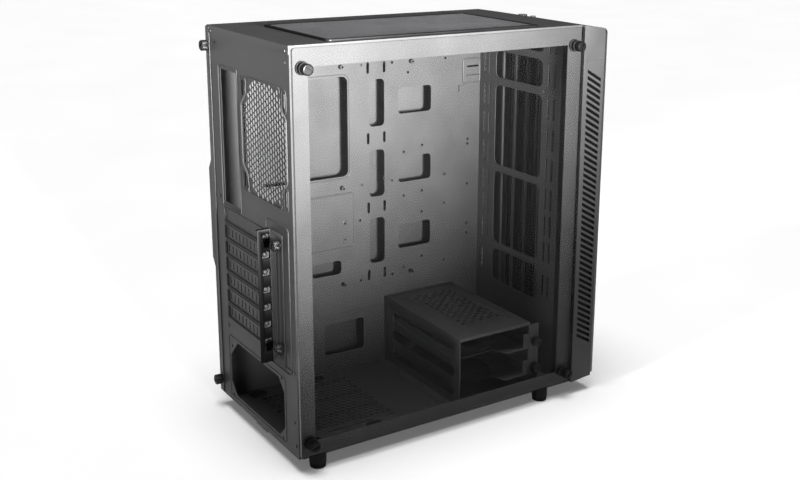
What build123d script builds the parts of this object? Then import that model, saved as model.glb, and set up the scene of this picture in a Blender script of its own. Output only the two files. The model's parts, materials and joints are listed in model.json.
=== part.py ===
from build123d import *
import math
import os

# Mid-tower computer case, empty, with a clear left side panel.
# Millimetres. +Z up, front towards -Y, clear panel towards -X.
# Origin: on the ground, at the centre of the four feet.

# ---------------------------------------------------------------- driving sizes
WIDTH = 224.0                 # clear panel face to steel panel face
FOOT_HEIGHT = 18.0
BODY_TOP = 480.0
REAR_Y = 187.0                # outer face of the rear panel
CHASSIS_DEPTH = 388.0
BEZEL_DEPTH = 36.5
SHEET = 1.0                   # steel sheet
STEP = 0.7                    # depth of a pressed step in the sheet

LEFT_X = -WIDTH / 2
RIGHT_X = WIDTH / 2
CHASSIS_FRONT_Y = REAR_Y - CHASSIS_DEPTH
BEZEL_FRONT_Y = CHASSIS_FRONT_Y - BEZEL_DEPTH
FLOOR_Z = FOOT_HEIGHT
INNER_FLOOR_Z = FLOOR_Z + SHEET

GLASS_THICKNESS = 4.0
GLASS_Z0, GLASS_Z1 = 20.5, 478.0
GLASS_SCREW_Y = (REAR_Y - 13.5, CHASSIS_FRONT_Y + 12.5)
GLASS_SCREW_Z = (36.0, 456.5)
BORDER_X = -105.5             # outer face of the border that carries the clear panel
BORDER_WIDTH = 21.0
BORDER_TOP_Z = 457.0
BORDER_BOTTOM_Z = 35.5
STUD_R = 2.0
STUD_CLEARANCE = 0.05

TRAY_X = 85.0                 # face of the motherboard tray
TRAY_FRONT_Y = -188.0         # meets the front frame
STANDOFF_HEIGHT = 6.35
BOARD_TOP_Z = 421.5           # upper row of board holes
BOARD_INSET = 37.0            # rear column of board holes, in front of the rear panel
BOARD_COLUMNS_Y = (REAR_Y - BOARD_INSET, REAR_Y - BOARD_INSET - 124.46, REAR_Y - BOARD_INSET - 227.33)
BOARD_ROWS_Z = (BOARD_TOP_Z, BOARD_TOP_Z - 154.94, BOARD_TOP_Z - 284.48)
BOARD_REAR_TOP_DROP = 22.86
TRAY_SMALL_R = 1.7
TRAY_SMALL_HOLES = {          # distance in front of the rear panel: heights
    188.0: (137.0, 219.2),
    191.0: (266.6, 421.5),
    236.7: (137.0, 266.6, 421.5),
    254.5: (143.5, 243.0, 302.5),
    260.8: (407.0,),
    282.8: (154.6, 217.2, 246.3, 308.6),
    318.5: (143.0, 224.0, 264.1, 421.5),
    356.0: (176.0, 190.0, 246.1, 302.2, 308.5),
}

IO_X0, IO_X1 = 32.05, 76.5    # 44.45 wide
IO_Z0, IO_Z1 = 274.5, 433.25  # 158.75 high

FAN_X, FAN_Z = -38.5, 367.5   # rear fan
FAN_PITCH = 105.0
FAN_NECK_HALF = 43.5
FAN_WIDE_HALF = 57.0
FAN_HALF_HEIGHT = 66.0
FAN_WIDE_HALF_HEIGHT = 34.0
FAN_CORNER_R = 5.0

SLOT_COUNT = 7
SLOT_PITCH = 20.32
SLOT_TOP_Z = 258.6            # centre of the first slot
SLOT_X0, SLOT_X1 = -46.5, 76.0
SLOT_OPENING = 15.4
COVER_HEIGHT = 18.4
COVER_END_X = -46.0
SHELF_DEPTH = 13.0

BRACKET_Z0, BRACKET_Z1 = 117.0, 273.0
BRACKET_SCREW_X = -72.0
BRACKET_SCREW_Z = (140.5, 260.5)

PSU_X0, PSU_X1 = -72.0, 77.0
PSU_Z0, PSU_Z1 = 29.0, 101.0
PSU_CHAMFER = 14.0
PSU_HOLE_R = 1.9
PSU_SCREW_CHAMFER = 22.0      # corner that carries the upper right screw
PSU_HOLES = ((-66.5, 28.0), (71.5, 28.0), (-66.5, 102.0), (71.5, 92.0))

FRAME_Y = -188.0              # rear face of the front frame
WINDOW_HALF = 49.0

CAGE_X0, CAGE_X1 = -95.0, 84.0
CAGE_Y0, CAGE_Y1 = -143.5, -36.5
CAGE_TOP_Z = 108.5
SLED_PITCH = 36.0
SLED_Z0 = 37.0
SLED_BACK_X = 60.0
SLED_RAIL = 14.0
CAGE_SCREW_Y = CAGE_Y0 - 7.3
CAGE_SCREW_Z = (46.5, 82.0)

FILTER_X0, FILTER_X1 = -97.0, 61.0
FILTER_Y0, FILTER_Y1 = -143.0, 139.0
FILTER_HEIGHT = 2.2
TOP_FAN_Y = (66.0, -70.0)
TOP_FAN_R = 57.0
TOP_SLOT = 14.0
SCREW_HOLE_R = 2.2
TOP_LIP = 0.9                 # the top sheet's edge folded over the rear panel

FOOT_X = 98.0
FOOT_Y = 160.0
FOOT_R = 10.0

HEAD_R = 6.3                  # thumbscrew head
HEAD_LENGTH = 9.0
HEAD_SLOT = 1.4
HEAD_SLOT_DEPTH = 1.6

BEZEL_WALL = 2.5
FRONT_GLASS = 4.0
BEZEL_BODY_Y = BEZEL_FRONT_Y + FRONT_GLASS
BEZEL_HALF = RIGHT_X - 0.5
BEZEL_TOP_DROP = 5.0          # the bezel's top falls this much towards the front
VENT_Y0, VENT_Y1 = BEZEL_BODY_Y + 1.5, CHASSIS_FRONT_Y - 4.0
VENT_Z0, VENT_Z1 = 66.0, 437.0
VENT_COUNT, VENT_PITCH = 46, 7.6
VENT_SLOPE = 30.0             # degrees, falling towards the front
VENT_SLOT_HALF = 2.2
VENT_FIRST_Z = VENT_Z1 - 12.5
PORT_Y = (CHASSIS_FRONT_Y + BEZEL_BODY_Y) / 2 - 1.0
PORT_TOP = 475.5              # level of the sockets' mouths
IO_BOARD_Z = 457.0
IO_BOARD_TOP_Z = IO_BOARD_Z + 1.6
SWITCH_TOP_Z = IO_BOARD_TOP_Z + 3.3
COLLAR_Z = 469.5              # collar that keeps a button in the bezel
USB_X = (-44.0, -66.0)
JACK_X = (-8.0, -22.0)
POWER_X = 34.0
RESET_X = 12.0


# ---------------------------------------------------------------- helpers
def block(x0, x1, y0, y1, z0, z1):
    """A box between two corners."""
    size = Box(x1 - x0, y1 - y0, z1 - z0)
    return Pos((x0 + x1) / 2, (y0 + y1) / 2, (z0 + z1) / 2) * size


def rod(axis, radius, start, end, a, b):
    """A round bar along an axis from start to end; a, b are its other two places."""
    length = end - start
    middle = (start + end) / 2
    if axis == "x":
        return Pos(middle, a, b) * Rot(0, 90, 0) * Cylinder(radius, length)
    if axis == "y":
        return Pos(a, middle, b) * Rot(90, 0, 0) * Cylinder(radius, length)
    return Pos(a, b, middle) * Cylinder(radius, length)


def rect(u0, u1, v0, v1, radius=0.0):
    """Outline of a rectangle in a sheet's own plane."""
    width, height = u1 - u0, v1 - v0
    shape = RectangleRounded(width, height, radius) if radius else Rectangle(width, height)
    return shape.face().outer_wire().moved(Location(((u0 + u1) / 2, (v0 + v1) / 2, 0)))


def dot(u, v, radius):
    """Outline of a round hole in a sheet's own plane."""
    return Circle(radius).face().outer_wire().moved(Location((u, v, 0)))


def outline(points):
    """A closed straight-sided outline."""
    return Wire.make_polygon([Vector(u, v, 0) for u, v in points], close=True)


def hex_field(u0, u1, v0, v1, pitch, across, inside=None):
    """Six-sided holes in close-packed rows that climb at thirty degrees."""
    holes = []
    column_step = pitch * math.sqrt(3) / 2
    radius = across / math.sqrt(3)
    columns = int((u1 - u0 - across) / column_step) + 1
    rows = int((v1 - v0 - across) / pitch) + 1
    u_start = (u0 + u1) / 2 - (columns - 1) * column_step / 2
    v_start = (v0 + v1) / 2 - (rows - 1) * pitch / 2
    for column in range(columns):
        for row in range(rows):
            u = u_start + column * column_step
            v = v_start + row * pitch + (pitch / 2 if column % 2 else 0)
            fits = v + across / 2 < v1 and (inside is None or inside(u, v))
            if fits:
                hexagon = RegularPolygon(radius, 6).face().outer_wire()
                holes.append(hexagon.moved(Location((u, v, 0))))
    return holes


def sheet(plane, outer, holes=(), thickness=SHEET):
    """A flat sheet with holes, grown along the plane's normal."""
    face = Face(outer, list(holes))
    return Part() + extrude(plane * face, amount=thickness)


def rear_plane(y):
    """Sheet plane seen as X across and Z up, growing forward."""
    return Plane(origin=(0, y, 0), x_dir=(1, 0, 0), z_dir=(0, -1, 0))


def side_plane(x):
    """Sheet plane seen as Y across and Z up, growing towards +X."""
    return Plane(origin=(x, 0, 0), x_dir=(0, 1, 0), z_dir=(1, 0, 0))


def level_plane(z):
    """Sheet plane seen as X across and Y up, growing upwards."""
    return Plane(origin=(0, 0, z), x_dir=(1, 0, 0), z_dir=(0, 0, 1))


def slot_z(index):
    """Centre height of an expansion slot, counted from the top."""
    return SLOT_TOP_Z - index * SLOT_PITCH


def save(name, shape):
    """Write one sub-part."""
    export_step(shape, f"parts/{name}.step")


def group(shapes):
    """Several separate solids in one node."""
    return Compound(children=[solid for shape in shapes for solid in shape.solids()])


# ---------------------------------------------------------------- rear panel
def fan_outline(grow=0.0):
    """The rear fan field: narrow at top and bottom, wider in the middle, corners rounded."""
    neck = FAN_NECK_HALF + grow
    wide = FAN_WIDE_HALF + grow
    tall = FAN_HALF_HEIGHT + grow
    shoulder = FAN_WIDE_HALF_HEIGHT + grow
    slope = wide - neck
    right = [(neck, -tall), (neck, -shoulder - slope), (wide, -shoulder),
             (wide, shoulder), (neck, shoulder + slope), (neck, tall)]
    left = [(-u, -v) for u, v in right]
    face = Face(outline([(FAN_X + u, FAN_Z + v) for u, v in right + left]))
    return face.fillet_2d(FAN_CORNER_R, face.vertices()).outer_wire()


def in_fan_field(u, v):
    """True where a grille hole keeps clear of the field's edge."""
    margin = 4.2
    du, dv = abs(u - FAN_X), abs(v - FAN_Z)
    in_neck = du < FAN_NECK_HALF - margin and dv < FAN_HALF_HEIGHT - margin
    slope_line = FAN_WIDE_HALF_HEIGHT + FAN_WIDE_HALF - du
    in_wide = du < FAN_WIDE_HALF - margin and dv < slope_line - margin * math.sqrt(2)
    return in_neck or in_wide


def make_rear_panel():
    """Rear sheet with the board opening, fan grille, slots and supply opening."""
    plane = rear_plane(REAR_Y)
    x0, x1, z0, z1 = BORDER_X + SHEET, RIGHT_X - 1.6, INNER_FLOOR_Z, BODY_TOP - SHEET
    io_rim = 4.0
    holes = [rect(IO_X0 - io_rim, IO_X1 + io_rim, IO_Z0 - io_rim, IO_Z1 + io_rim, 1.5)]
    holes.append(fan_outline())
    for side in (-1, 1):
        for end in (-1, 1):
            u = FAN_X + side * FAN_PITCH / 2
            v = FAN_Z + end * FAN_PITCH / 2
            holes.append(rect(u - SCREW_HOLE_R, u + SCREW_HOLE_R, v - 9, v + 9, SCREW_HOLE_R - 0.01))
    for index in range(SLOT_COUNT):
        z = slot_z(index)
        holes.append(rect(SLOT_X0, SLOT_X1, z - SLOT_OPENING / 2, z + SLOT_OPENING / 2, 1.0))
    corner = PSU_CHAMFER
    holes.append(outline([(PSU_X0 + corner, PSU_Z0), (PSU_X1 - corner, PSU_Z0),
                          (PSU_X1, PSU_Z0 + corner), (PSU_X1, PSU_Z1 - PSU_SCREW_CHAMFER),
                          (PSU_X1 - PSU_SCREW_CHAMFER, PSU_Z1), (PSU_X0 + corner, PSU_Z1),
                          (PSU_X0, PSU_Z1 - corner), (PSU_X0, PSU_Z0 + corner)]))
    for u, v in PSU_HOLES:
        holes.append(dot(u, v, PSU_HOLE_R))
    for u, v in ((88.5, 461.5), (-95.0, 461.5), (-98.0, 60.0), (88.0, 278.0)):
        holes.append(dot(u, v, 1.8))
    for z in BRACKET_SCREW_Z:
        holes.append(dot(BRACKET_SCREW_X, z, STUD_R + STUD_CLEARANCE))
    for z in GLASS_SCREW_Z:
        holes.append(dot(RIGHT_X - 5.7, z, STUD_R + STUD_CLEARANCE))
    panel = sheet(plane, rect(x0, x1, z0, z1), holes)

    pressed = rear_plane(REAR_Y - STEP)
    lip = 2.0
    grille_holes = hex_field(FAN_X - FAN_WIDE_HALF, FAN_X + FAN_WIDE_HALF,
                             FAN_Z - FAN_HALF_HEIGHT, FAN_Z + FAN_HALF_HEIGHT,
                             7.0, 5.8, in_fan_field)
    panel += sheet(pressed, fan_outline(lip), grille_holes)
    io_outer = rect(IO_X0 - io_rim - lip, IO_X1 + io_rim + lip,
                    IO_Z0 - io_rim - lip, IO_Z1 + io_rim + lip, 1.5)
    panel += sheet(pressed, io_outer, [rect(IO_X0, IO_X1, IO_Z0, IO_Z1)])

    border = sheet(side_plane(BORDER_X),
                   rect(REAR_Y - BORDER_WIDTH, REAR_Y, z0, z1),
                   [dot(GLASS_SCREW_Y[0], z, 3.5) for z in GLASS_SCREW_Z])
    panel += border
    panel += block(-66.0, -64.0, REAR_Y - 0.2, REAR_Y + STEP, 131.0, 252.0)
    return panel


def make_slot_shelf():
    """Ledge outside the slots, on which card and cover tabs are screwed."""
    x = COVER_END_X + SHEET
    z0 = slot_z(SLOT_COUNT - 1) - 11.0
    z1 = slot_z(0) + 11.0
    holes = [dot(REAR_Y + 7.0, slot_z(index) + 5.0, 1.6) for index in range(SLOT_COUNT)]
    return sheet(side_plane(x), rect(REAR_Y, REAR_Y + SHELF_DEPTH, z0, z1), holes)


def make_slot_cover(index):
    """One cover: a strip behind the opening with a tab turned outwards."""
    z = slot_z(index)
    y = REAR_Y - SHEET
    u0, u1 = COVER_END_X, SLOT_X1 + 2.5
    holes = []
    if index > 0:
        count, pitch = 11, 10.4
        for number in range(count):
            u = -34.0 + number * pitch
            holes.append(rect(u - 1.3, u + 1.3, z - 4.6, z + 4.6, 1.2))
    cover = sheet(rear_plane(y), rect(u0, u1, z - COVER_HEIGHT / 2, z + COVER_HEIGHT / 2), holes)
    tab_half = SLOT_OPENING / 2 - 0.6
    tab = sheet(side_plane(u0), rect(y - SHEET, REAR_Y + SHELF_DEPTH - 1.5, z - tab_half, z + tab_half),
                [dot(REAR_Y + 7.0, z + 5.0, 1.9)])
    return cover + tab


def make_slot_screws():
    """Seven pan-head screws through the cover tabs."""
    screws = []
    for index in range(SLOT_COUNT):
        y, z = REAR_Y + 7.0, slot_z(index) + 5.0
        head = rod("x", 3.2, COVER_END_X - 2.2, COVER_END_X, y, z)
        shank = rod("x", 1.55, COVER_END_X, COVER_END_X + 5.0, y, z)
        screws.append(head + shank)
    return group(screws)


def make_slot_bracket():
    """Black cover over the slot screws: a notched leg out from the panel, a foot on it."""
    leg_x = COVER_END_X - 2.6
    notches = []
    for index in range(SLOT_COUNT):
        z = slot_z(index) + 5.0
        notches.append(rect(REAR_Y + 1.6, REAR_Y + 11.0, z - 4.0, z + 4.0, 1.0))
    leg = sheet(side_plane(leg_x - SHEET),
                rect(REAR_Y + 0.05, REAR_Y + 16.5, BRACKET_Z0, BRACKET_Z1), notches)
    foot_holes = [dot(BRACKET_SCREW_X, z, 3.0) for z in BRACKET_SCREW_Z]
    foot = sheet(rear_plane(REAR_Y + SHEET + 0.05),
                 rect(BRACKET_SCREW_X - 7.5, leg_x, BRACKET_Z0, BRACKET_Z1), foot_holes)
    foot -= block(-67.0, -63.0, REAR_Y - 1, REAR_Y + 2, 130.0, 253.0)
    top = block(leg_x - SHEET, COVER_END_X + 1.0, REAR_Y + 1.5, REAR_Y + 16.5,
                BRACKET_Z1 - SHEET, BRACKET_Z1)
    bottom = block(leg_x - SHEET, COVER_END_X + 1.0, REAR_Y + 1.5, REAR_Y + 16.5,
                   BRACKET_Z0, BRACKET_Z0 + SHEET)
    return leg + foot + top + bottom


# ---------------------------------------------------------------- thumbscrews
def make_thumbscrew(axis, sign, seat, tip, a, b):
    """Slotted thumbscrew; its head starts at seat and points along sign."""
    outer = seat + sign * HEAD_LENGTH
    low, high = min(seat, outer), max(seat, outer)
    head = rod(axis, HEAD_R, low, high, a, b)
    head = chamfer(head.edges().filter_by(GeomType.CIRCLE), 0.6)
    shank = rod(axis, STUD_R, min(seat, tip), max(seat, tip), a, b)
    groove_end = outer - sign * HEAD_SLOT_DEPTH
    s0, s1 = min(outer, groove_end), max(outer, groove_end)
    reach = HEAD_R + 1
    half = HEAD_SLOT / 2
    if axis == "x":
        groove = block(s0, s1, a - reach, a + reach, b - half, b + half)
    else:
        groove = block(a - reach, a + reach, s0, s1, b - half, b + half)
    return (head - groove) + shank


# ---------------------------------------------------------------- tray
def make_motherboard_tray():
    """Steel wall that carries the board, pierced for the cooler and cables."""
    rear = REAR_Y - SHEET
    y0, y1, z0, z1 = TRAY_FRONT_Y, rear, INNER_FLOOR_Z, BODY_TOP - SHEET
    holes = [rect(REAR_Y - 171.5, REAR_Y - 52.0, 281.0, 409.0, 8.0)]
    holes.append(rect(REAR_Y - 33.0, REAR_Y - 24.5, 262.0, 428.0, 1.5))
    holes.append(rect(REAR_Y - 352.0, REAR_Y - 290.0, 441.0, 444.0, 1.2))
    for top, bottom in ((402.0, 341.0), (310.0, 248.0), (219.0, 157.5)):
        holes.append(rect(REAR_Y - 225.0, REAR_Y - 202.5, bottom, top, 6.0))
    for middle in (417.0, 326.0, 234.0, 142.0):
        for inset in (201.0, 225.0):
            holes.append(rect(REAR_Y - inset - 1.9, REAR_Y - inset + 1.9,
                              middle - 7.2, middle + 7.2, 1.8))
    for top, bottom in ((388.0, 353.7), (296.0, 262.0), (204.5, 170.8)):
        holes.append(rect(REAR_Y - 296.5, REAR_Y - 246.0, bottom, top, 5.0))
    holes.append(rect(REAR_Y - 159.5, REAR_Y - 118.0, 151.7, 170.0, 5.0))
    holes.append(rect(REAR_Y - 192.0, REAR_Y - 133.8, 42.0, 85.0, 5.0))
    for column_inset, heights in TRAY_SMALL_HOLES.items():
        for z in heights:
            holes.append(dot(REAR_Y - column_inset, z, TRAY_SMALL_R))
    pill_holes = [dot(REAR_Y - 165.5, z, 1.3) for z in (197.5, 218.5)]
    tray = sheet(side_plane(TRAY_X), rect(y0, y1, z0, z1), holes + pill_holes)

    raised = side_plane(TRAY_X - STEP)
    tray += sheet(raised, rect(REAR_Y - 178.5, REAR_Y - 40.0, 186.5, 258.0, 4.0), pill_holes, STEP)
    plate_y0, plate_y1 = TRAY_FRONT_Y + 1.0, REAR_Y - 347.0
    plate_holes = [rect(plate_y0 + 2.0, plate_y1 - 6.0, 406.5, 409.0, 1.2)]
    plate_holes += [dot(plate_y1 - 7.0 - 4.5 * number, 395.7, 1.1) for number in range(5)]
    for bottom, top in ((393.5, 398.0), (405.5, 410.0)):
        tray -= block(TRAY_X - 1, TRAY_X + SHEET + 1, plate_y0 + 1.0, plate_y1 - 5.0, bottom, top)
    tray += sheet(raised, rect(plate_y0, plate_y1, 386.0, 418.0, 3.0), plate_holes, STEP)
    tray += block(TRAY_X - 2.0, TRAY_X + 0.2, REAR_Y - 350.0, REAR_Y - 340.0, 374.5, 383.5)
    tray += block(TRAY_X - STEP, TRAY_X + 0.2, TRAY_FRONT_Y + 70.0, REAR_Y - 30.0, 94.5, 97.0)
    return tray


def make_board_standoffs():
    """Eight six-sided posts with threaded ends; the front middle one gives way to a cable opening."""
    posts = []
    for column, y in enumerate(BOARD_COLUMNS_Y):
        for row, row_z in enumerate(BOARD_ROWS_Z):
            if (column, row) == (2, 1):
                continue
            drop = BOARD_REAR_TOP_DROP if column == 0 and row == 0 else 0.0
            place = Pos(TRAY_X - STANDOFF_HEIGHT / 2, y, row_z - drop) * Rot(0, 90, 0)
            post = extrude(RegularPolygon(3.0, 6), amount=STANDOFF_HEIGHT / 2, both=True)
            bore = Cylinder(1.5, STANDOFF_HEIGHT)
            posts.append(place * (post - bore))
    return group(posts)


# ---------------------------------------------------------------- floor, top, front frame
def make_floor_pan():
    """Floor with the supply vent and the lower part of the left border."""
    z = FLOOR_Z
    vent = hex_field(-60.0, 62.0, REAR_Y - 150.0, REAR_Y - 30.0, 8.0, 6.4)
    holes = vent + [rect(-66.0, -64.4, REAR_Y - 118.0, REAR_Y - 56.0),
                    rect(-66.0, -64.4, REAR_Y - 151.0, REAR_Y - 137.0)]
    floor = sheet(level_plane(z), rect(BORDER_X, 108.0, CHASSIS_FRONT_Y, REAR_Y), holes)
    border = sheet(side_plane(BORDER_X),
                   rect(CHASSIS_FRONT_Y + BORDER_WIDTH, REAR_Y - BORDER_WIDTH,
                        FLOOR_Z + SHEET, BORDER_BOTTOM_Z))
    right_hem = block(107.0, 108.0, CHASSIS_FRONT_Y, REAR_Y - SHEET, FLOOR_Z, FLOOR_Z + 10.0)
    return floor + border + right_hem


def make_top_panel():
    """Top sheet with two fan openings and the upper part of the left border."""
    z = BODY_TOP - SHEET
    middle_x = (FILTER_X0 + FILTER_X1) / 2
    holes = []
    for middle_y in TOP_FAN_Y:
        holes.append(dot(middle_x, middle_y, TOP_FAN_R))
        for side in (-1, 1):
            for end in (-1, 1):
                u = middle_x + side * FAN_PITCH / 2
                v = middle_y + end * FAN_PITCH / 2
                holes.append(rect(u - TOP_SLOT / 2, u + TOP_SLOT / 2,
                                  v - SCREW_HOLE_R, v + SCREW_HOLE_R, SCREW_HOLE_R - 0.01))
    top = sheet(level_plane(z), rect(BORDER_X, 110.5, CHASSIS_FRONT_Y, REAR_Y), holes)
    border = sheet(side_plane(BORDER_X),
                   rect(CHASSIS_FRONT_Y + BORDER_WIDTH, REAR_Y - BORDER_WIDTH,
                        BORDER_TOP_Z, BODY_TOP - SHEET))
    rear_lip = block(BORDER_X, 101.0, REAR_Y, REAR_Y + TOP_LIP, BODY_TOP - 9.0, BODY_TOP)
    right_hem = block(107.0, 108.0, CHASSIS_FRONT_Y, REAR_Y - SHEET, BODY_TOP - 10.0, BODY_TOP)
    return top + border + rear_lip + right_hem


def make_front_frame():
    """Front wall with stacked fan openings, and the front part of the left border."""
    z0, z1 = INNER_FLOOR_Z, BODY_TOP - SHEET
    holes = []
    windows = ((116.0, 161.0), (170.5, 270.0), (279.5, 387.0), (397.0, 432.0), (441.0, 458.0))
    for bottom, top in windows:
        radius = min(8.0, (top - bottom) / 3)
        holes.append(rect(-WINDOW_HALF, WINDOW_HALF, bottom, top, radius))
    for middle in (449.0, 414.0, 372.0, 333.0, 294.0, 255.0, 220.0, 185.0, 140.0):
        reach = 8.0 if middle > 440.0 else 14.0
        for side in (-1, 1):
            for inset in (62.0, 73.0):
                u = side * inset
                holes.append(rect(u - 1.7, u + 1.7, middle - reach, middle + reach, 1.6))
    frame = sheet(rear_plane(FRAME_Y), rect(-90.0, 107.0, z0, z1), holes)
    left_fold = block(-90.0, -89.0, CHASSIS_FRONT_Y, FRAME_Y + 3.0, z0, z1)
    left_wall = block(BORDER_X, -89.0, CHASSIS_FRONT_Y, CHASSIS_FRONT_Y + SHEET, z0, z1)
    border = sheet(side_plane(BORDER_X),
                   rect(CHASSIS_FRONT_Y, CHASSIS_FRONT_Y + BORDER_WIDTH, z0, z1),
                   [dot(GLASS_SCREW_Y[1], z, 3.5) for z in GLASS_SCREW_Z])
    ribs = [block(-52.0, 52.0, FRAME_Y, FRAME_Y + STEP, z - 1.0, z + 1.0)
            for z in (392.0, 275.0, 166.0)]
    frame = frame + left_fold + left_wall + border
    for rib in ribs:
        frame += rib
    return frame


def make_glass_inserts():
    """Four threaded inserts with collars in the left border."""
    inserts = []
    for y in GLASS_SCREW_Y:
        for z in GLASS_SCREW_Z:
            barrel = rod("x", 3.45, BORDER_X, BORDER_X + 8.0, y, z)
            barrel += rod("x", 5.0, BORDER_X - 0.8, BORDER_X, y, z)
            inserts.append(barrel - rod("x", STUD_R + STUD_CLEARANCE, BORDER_X - 2, BORDER_X + 9, y, z))
    return group(inserts)


def make_glass_bumpers():
    """Rubber rings between the border and the clear panel."""
    rings = []
    for y in GLASS_SCREW_Y:
        for z in GLASS_SCREW_Z:
            x0, x1 = LEFT_X + GLASS_THICKNESS + 0.05, BORDER_X
            rings.append(rod("x", 7.5, x0, x1, y, z) - rod("x", 5.1, x0 - 1, x1 + 1, y, z))
    return group(rings)


# ---------------------------------------------------------------- drive cage
def make_drive_cage():
    """Bent-sheet cage for two drive sleds, open towards both sides."""
    z0, z1 = INNER_FLOOR_Z, CAGE_TOP_Z
    holes = []
    column_pitch, row_pitch = 12.0, 6.6
    for column in range(10):
        for row in range(9):
            u = -54.0 + column * column_pitch + (row % 2) * column_pitch / 2
            v = CAGE_Y0 + 22.0 + row * row_pitch
            holes.append(rect(u - 3.4, u + 3.4, v - 1.9, v + 1.9, 0.8))
    top = sheet(level_plane(z1 - SHEET), rect(CAGE_X0, CAGE_X1, CAGE_Y0, CAGE_Y1), holes)
    windows = [rect(-82.0, 62.0, z - 7.0, z + 7.0, 6.0) for z in (36.0, 61.0, 86.0)]
    rear_wall = sheet(rear_plane(CAGE_Y1), rect(CAGE_X0, CAGE_X1, z0, z1), windows)
    front_wall = sheet(rear_plane(CAGE_Y0 + SHEET), rect(CAGE_X0, CAGE_X1, z0, z1), windows)
    cage = top + rear_wall + front_wall
    for level in range(2):
        z = SLED_Z0 + level * SLED_PITCH - 1.4
        cage += block(-80.0, 70.0, CAGE_Y1 - SHEET - 3.0, CAGE_Y1 - SHEET, z, z + 1.2)
        cage += block(-80.0, 70.0, CAGE_Y0 + SHEET, CAGE_Y0 + SHEET + 3.0, z, z + 1.2)
    lip = block(CAGE_X0, CAGE_X0 + SHEET, CAGE_Y0, CAGE_Y1, z1 - 4.0, z1)
    foot = block(CAGE_X0 + 10, CAGE_X1 - 10, CAGE_Y1 - 0.1, CAGE_Y1 + 12.0, z0, z0 + SHEET)
    return cage + lip + foot


def make_cage_flange():
    """Upright plate at the front edge of the cage that takes its two thumbscrews."""
    holes = [dot(CAGE_SCREW_Y, z, STUD_R + STUD_CLEARANCE) for z in CAGE_SCREW_Z]
    plate = sheet(side_plane(CAGE_X0), rect(CAGE_Y0 - 14.5, CAGE_Y0, INNER_FLOOR_Z, 105.0), holes)
    foot = block(CAGE_X0, CAGE_X0 + 14.0, CAGE_Y0 - 14.5, CAGE_Y0, INNER_FLOOR_Z, INNER_FLOOR_Z + SHEET)
    return plate + foot


def make_cage_screws():
    """Four low screws that hold the cage to the floor."""
    screws = []
    for x in (-70.0, -20.0, 30.0, 60.0):
        z = INNER_FLOOR_Z + SHEET
        screws.append(rod("z", 3.0, z, z + 1.8, x, CAGE_Y1 + 7.0))
    return group(screws)


def make_sled(level):
    """Folded drive sled: a floor with a stepped front edge, two rails and an ear."""
    z0 = SLED_Z0 + level * SLED_PITCH
    y0, y1 = CAGE_Y0 + SHEET + 0.6, CAGE_Y1 - SHEET - 0.6
    grip_x, edge_x = CAGE_X0, CAGE_X0 + 19.0
    outer = outline([(grip_x, y0), (SLED_BACK_X, y0), (SLED_BACK_X, y1), (edge_x, y1),
                     (edge_x, y0 + 41.5), (grip_x, y0 + 34.5)])
    holes = [rect(-50.0, -12.0, y0 + 20.0, y1 - 20.0, 4.0), rect(2.0, 40.0, y0 + 20.0, y1 - 20.0, 4.0),
             rect(-72.0, -66.0, y0 + 38.0, y0 + 54.0, 2.9), dot(-58.0, y0 + 44.0, 1.7)]
    sled = sheet(level_plane(z0), outer, holes)
    sled += block(grip_x, SLED_BACK_X, y0, y0 + SHEET, z0, z0 + SLED_RAIL)
    sled += block(edge_x, SLED_BACK_X, y1 - SHEET, y1, z0, z0 + SLED_RAIL)
    sled += block(SLED_BACK_X - SHEET, SLED_BACK_X, y0, y1, z0, z0 + 8.0)
    sled += block(grip_x, grip_x + SHEET, y0, y0 + 8.0, z0, z0 + 20.0)
    return sled


def make_sled_fixings(level):
    """Four drive pins and the ear screw of one sled."""
    z0 = SLED_Z0 + level * SLED_PITCH
    y0, y1 = CAGE_Y0 + SHEET + 0.6, CAGE_Y1 - SHEET - 0.6
    fixings = []
    for x in (-66.0, 35.0):
        fixings.append(rod("y", 2.6, y0 + SHEET, y0 + SHEET + 1.2, x, z0 + 8.0))
        fixings.append(rod("y", 2.6, y1 - SHEET - 1.2, y1 - SHEET, x, z0 + 8.0))
    fixings.append(rod("x", 2.4, CAGE_X0 - 1.2, CAGE_X0, y0 + 3.6, z0 + 12.5))
    return group(fixings)


# ---------------------------------------------------------------- side panels
def make_glass_panel():
    """Clear side panel with rounded corners and four screw holes."""
    holes = [dot(y, z, 3.2) for y in GLASS_SCREW_Y for z in GLASS_SCREW_Z]
    outer = rect(CHASSIS_FRONT_Y + 1.0, REAR_Y - 0.5, GLASS_Z0, GLASS_Z1, 3.0)
    return sheet(side_plane(LEFT_X), outer, holes, GLASS_THICKNESS)


def make_glass_washers():
    """Rubber washers under the heads of the four panel screws."""
    rings = []
    for y in GLASS_SCREW_Y:
        for z in GLASS_SCREW_Z:
            ring = rod("x", 6.6, LEFT_X - 1.5, LEFT_X, y, z)
            rings.append(ring - rod("x", STUD_R + STUD_CLEARANCE, LEFT_X - 2, LEFT_X + 1, y, z))
    return group(rings)


def make_steel_panel():
    """Steel side panel with folded edges."""
    z0, z1 = 19.5, 478.5
    panel = sheet(side_plane(RIGHT_X - SHEET), rect(CHASSIS_FRONT_Y + 1.0, REAR_Y + 1.2, z0, z1))
    flange_holes = [dot(RIGHT_X - 5.7, z, 3.0) for z in GLASS_SCREW_Z]
    panel += sheet(rear_plane(REAR_Y + 1.2), rect(RIGHT_X - 10.5, RIGHT_X, z0, z1), flange_holes)
    panel += block(108.6, RIGHT_X, CHASSIS_FRONT_Y + 1.0, CHASSIS_FRONT_Y + 2.0, z0, z1)
    return panel


def make_panel_grip():
    """Black finger grip wrapped over the rear edge of the steel panel."""
    points = [(183.0, 0.0), (194.0, 7.0), (307.0, 7.0), (318.0, 0.0)]
    profile = [(RIGHT_X + out, z) for z, out in points]
    plane = rear_plane(REAR_Y + 1.2)
    return Part() + extrude(plane * Face(outline(profile)), amount=20.0)


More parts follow.
